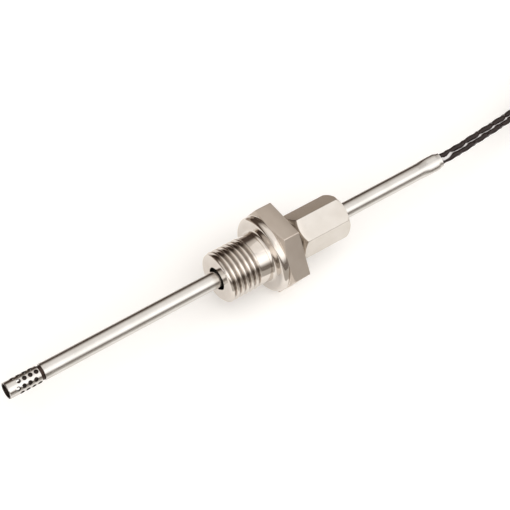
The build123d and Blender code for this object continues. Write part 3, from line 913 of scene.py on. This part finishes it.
for slot_name, node_names in NODE_SLOTS.items():
    for node_name in node_names:
        paint(nodes[node_name], LOOKS[slot_name])
for piece in [lead, *cores]:
    paint(piece, LOOKS["lead_black"])
paint(filler, LOOKS["filler_white"])
paint(gland, LOOKS["gland_steel"])
paint(sheath, LOOKS["sheath_steel"])
paint(nut, LOOKS["nut_steel"])


# ---------------------------------------------------------------- floor and light
FLOOR_REACH = 2.0
CARD_HEIGHT = 0.4 * MM
FLOOR_GLOW = 0.22
PANEL_PLACE = Vector((0.1, 0.1, 1.5))
PANEL_SIDE = 1.8
PANEL_POWER = 3.0
WARM_WHITE = (1.0, 0.985, 0.96)


def level_sheet(name, near, far, height):
    """Flat sheet across the whole floor from near to far, in metres along Y."""
    across = (-FLOOR_REACH, FLOOR_REACH)
    corners = [(across[0], near), (across[1], near), (across[1], far), (across[0], far)]
    return mesh_piece(name, [(x, y, height) for x, y in corners], [(0, 1, 2, 3)])


def make_floor():
    """Plain pale floor, far wider than the view."""
    floor = level_sheet("floor", -FLOOR_REACH, FLOOR_REACH, 0.0)
    look = Look("pale_floor").set(Roughness=0.7, Emission_Strength=FLOOR_GLOW)
    look.set(Emission_Color=(*WARM_WHITE, 1.0))
    tone = look.noise(3.0)
    look.join(look.ramp(tone, (0.3, (0.90, 0.895, 0.885)), (0.7, (0.92, 0.915, 0.905))), "Base Color")
    paint(floor, look)


def make_card(name, near, far, colour):
    """Grey card on the floor that only polished metal sees: far out it stands for the studio's dim
    surroundings, and next to the probe it is a painted shadow on the floor.
    """
    card = level_sheet(name, near, far, CARD_HEIGHT)
    look = Look(name).set(Roughness=0.9, Base_Color=(*colour, 1.0))
    paint(card, look)
    card.visible_camera = False
    card.visible_diffuse = False
    card.visible_shadow = False
    card.visible_transmission = False


# Brightness of the studio by angle about the probe: 0 is level towards the camera's side,
# 90 is overhead and 180 is level away from it.
STUDIO = [
    (-14, (0.60, 0.57, 0.54)),
    (-5, (0.27, 0.23, 0.20)),
    (3, (0.22, 0.185, 0.16)),
    (11, (0.55, 0.52, 0.49)),
    (19, (1.30, 1.27, 1.24)),
    (30, (1.75, 1.73, 1.70)),
    (48, (1.75, 1.73, 1.70)),
    (58, (1.50, 1.475, 1.45)),
    (68, (1.28, 1.25, 1.23)),
    (76, (0.92, 0.89, 0.87)),
    (90, (0.82, 0.79, 0.76)),
    (118, (0.80, 0.76, 0.72)),
    (133, (0.66, 0.61, 0.56)),
    (147, (0.10, 0.075, 0.06)),
    (178, (0.08, 0.055, 0.045)),
]
PALE_BACKDROP = (0.97, 0.965, 0.955, 1.0)


def make_studio():
    """Soft light all round by the angle about the probe; the camera itself sees a pale backdrop."""
    world = bpy.data.worlds.new("studio")
    world.use_nodes = True
    bpy.context.scene.world = world
    tree_nodes = world.node_tree.nodes
    links = world.node_tree.links
    way = tree_nodes.new("ShaderNodeTexCoord")
    parts = tree_nodes.new("ShaderNodeSeparateXYZ")
    links.new(way.outputs["Generated"], parts.inputs[0])
    towards = tree_nodes.new("ShaderNodeMath")
    towards.operation = "MULTIPLY"
    towards.inputs[1].default_value = -1.0
    links.new(parts.outputs["Y"], towards.inputs[0])
    angle = tree_nodes.new("ShaderNodeMath")
    angle.operation = "ARCTAN2"
    links.new(parts.outputs["Z"], angle.inputs[0])
    links.new(towards.outputs[0], angle.inputs[1])
    share = tree_nodes.new("ShaderNodeMapRange")
    share.inputs["From Min"].default_value = -math.pi
    share.inputs["From Max"].default_value = math.pi
    links.new(angle.outputs[0], share.inputs["Value"])
    ramp = tree_nodes.new("ShaderNodeValToRGB")
    links.new(share.outputs[0], ramp.inputs[0])
    fill_ramp(ramp, [((degrees + 180.0) / 360.0, colour) for degrees, colour in STUDIO])
    direct = tree_nodes.new("ShaderNodeLightPath")
    seen = tree_nodes.new("ShaderNodeMix")
    seen.data_type = "RGBA"
    seen.inputs[7].default_value = PALE_BACKDROP
    links.new(direct.outputs["Is Camera Ray"], seen.inputs[0])
    links.new(ramp.outputs[0], seen.inputs[6])
    links.new(seen.outputs[2], tree_nodes["Background"].inputs["Color"])


def make_overhead_panel():
    """Wide square soft light overhead that faces the middle of the floor."""
    data = bpy.data.lights.new("overhead_panel", "AREA")
    data.shape = "SQUARE"
    data.size = PANEL_SIDE
    data.energy = PANEL_POWER
    data.color = WARM_WHITE
    light = bpy.data.objects.new("overhead_panel", data)
    light.location = PANEL_PLACE
    light.rotation_euler = (-PANEL_PLACE).to_track_quat("-Z", "Y").to_euler()
    bpy.context.collection.objects.link(light)


make_floor()
make_studio()
make_card("back_card", 0.06, 1.9, (0.38, 0.32, 0.27))
make_card("front_card", -1.9, -0.06, (0.16, 0.135, 0.115))
# Painted shadow: a mid grey card beside the probe darkens the floor that the metal reflects there.
make_card("painted_shadow_card", -0.06, -0.0185, (0.50, 0.48, 0.45))
make_overhead_panel()
bpy.context.scene.view_settings.view_transform = "Standard"
